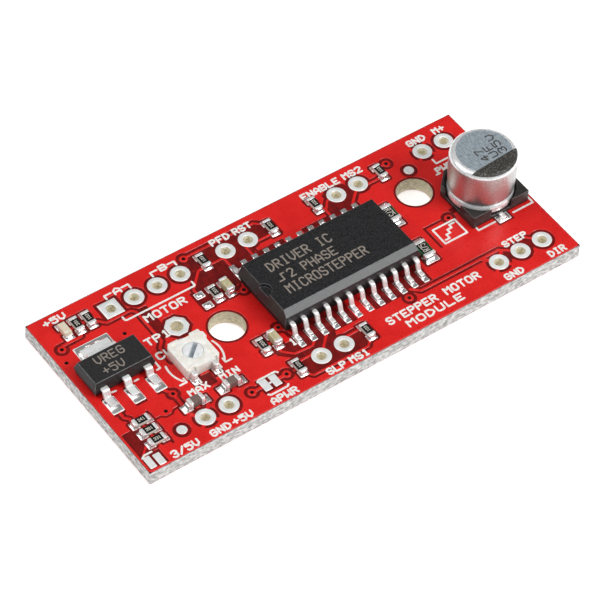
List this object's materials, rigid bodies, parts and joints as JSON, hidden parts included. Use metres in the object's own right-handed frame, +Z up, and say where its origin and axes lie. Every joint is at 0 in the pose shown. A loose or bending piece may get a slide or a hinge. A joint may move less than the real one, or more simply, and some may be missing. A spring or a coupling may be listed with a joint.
{
  "type": "stepper driver module",
  "caption": "Small red circuit board with a stepper driver chip, voltage regulator, current trimmer, supply capacitor, chip parts and two rows of plated header holes.",
  "frame": {"origin": "bottom centre of the board", "axes": "+X along the board's length, from the regulator to the capacitor; +Y towards the header row that ends in the motor supply; +Z up through the parts"},
  "size_m": [0.0482, 0.0204, 0.0074],
  "materials": {
    "solder_mask_board": "red solder mask over glass epoxy, pale sawn edges",
    "moulded_epoxy": "fine moulded black epoxy",
    "tinned_metal": "matt tin plating over copper",
    "leadframe": "stamped copper alloy, tin plated outside the body",
    "trimmer_plastic": "off-white moulded plastic",
    "rotor_plastic": "cool white moulded plastic",
    "spring_brass": "stamped spring brass",
    "substrate_ceramic": "matt alumina",
    "can_aluminium": "drawn aluminium, brushed top with a dark printed segment",
    "base_plastic": "black moulded plastic",
    "sealing_rubber": "moulded rubber",
    "winding_paper": "wound foil and paper",
    "resistor_glaze": "black glaze between tinned ends",
    "tan_ceramic": "tan fired ceramic between tinned ends",
    "brown_ceramic": "brown fired ceramic between tinned ends",
    "led_lens": "cream diffusing lens between tinned ends"
  },
  "bodies": {
    "board": {"pcb": "solder_mask_board", "driver_ic_body": "moulded_epoxy", "regulator_body": "moulded_epoxy", "driver_die_paddle": "leadframe", "regulator_tab": "tinned_metal", "regulator_input_lead": "tinned_metal", "regulator_adjust_lead": "tinned_metal", "trimmer_housing": "trimmer_plastic", "trimmer_resistive_element": "substrate_ceramic", "trimmer_left_terminal": "tinned_metal", "trimmer_right_terminal": "tinned_metal", "trimmer_wiper_terminal": "tinned_metal", "capacitor_can": "can_aluminium", "capacitor_base": "base_plastic", "capacitor_bung": "sealing_rubber", "capacitor_winding": "winding_paper", "capacitor_negative_lead": "tinned_metal", "capacitor_positive_lead": "tinned_metal", "power_led": "led_lens", "timing_capacitor_a": "tan_ceramic", "timing_capacitor_b": "tan_ceramic", "regulator_input_capacitor": "brown_ceramic", "regulator_output_capacitor": "brown_ceramic", "current_sense_resistor_a": "resistor_glaze", "current_sense_resistor_b": "resistor_glaze", "driver_lead_01": "tinned_metal", "driver_lead_02": "tinned_metal", "driver_lead_03": "tinned_metal", "driver_lead_04": "tinned_metal", "driver_lead_05": "tinned_metal", "driver_lead_08": "tinned_metal", "driver_lead_09": "tinned_metal", "driver_lead_10": "tinned_metal", "driver_lead_11": "tinned_metal", "driver_lead_12": "tinned_metal", "driver_lead_13": "tinned_metal", "driver_lead_14": "tinned_metal", "driver_lead_15": "tinned_metal", "driver_lead_16": "tinned_metal", "driver_lead_17": "tinned_metal", "driver_lead_20": "tinned_metal", "driver_lead_21": "tinned_metal", "driver_lead_22": "tinned_metal", "driver_lead_23": "tinned_metal", "driver_lead_24": "tinned_metal", "led_resistor": "resistor_glaze", "supply_sense_resistor": "resistor_glaze", "pfd_resistor": "resistor_glaze", "reset_resistor": "resistor_glaze", "enable_resistor": "resistor_glaze", "ms2_resistor": "resistor_glaze", "sleep_resistor": "resistor_glaze", "ms1_resistor": "resistor_glaze", "timing_resistor_a": "resistor_glaze", "timing_resistor_b": "resistor_glaze", "voltage_select_resistor_1": "resistor_glaze", "voltage_select_resistor_2": "resistor_glaze", "voltage_select_resistor_3": "resistor_glaze"},
    "current_trimmer": {"trimmer_rotor": "rotor_plastic", "trimmer_wiper": "spring_brass"}
  },
  "joints": [
    {"name": "current_trimmer_turn", "type": "hinge", "parent": "board", "child": "current_trimmer", "pos_m": [-0.01366, -0.00145, 0.0028], "axis": [0, 0, 1], "range_deg": [-115, 115]}
  ]
}
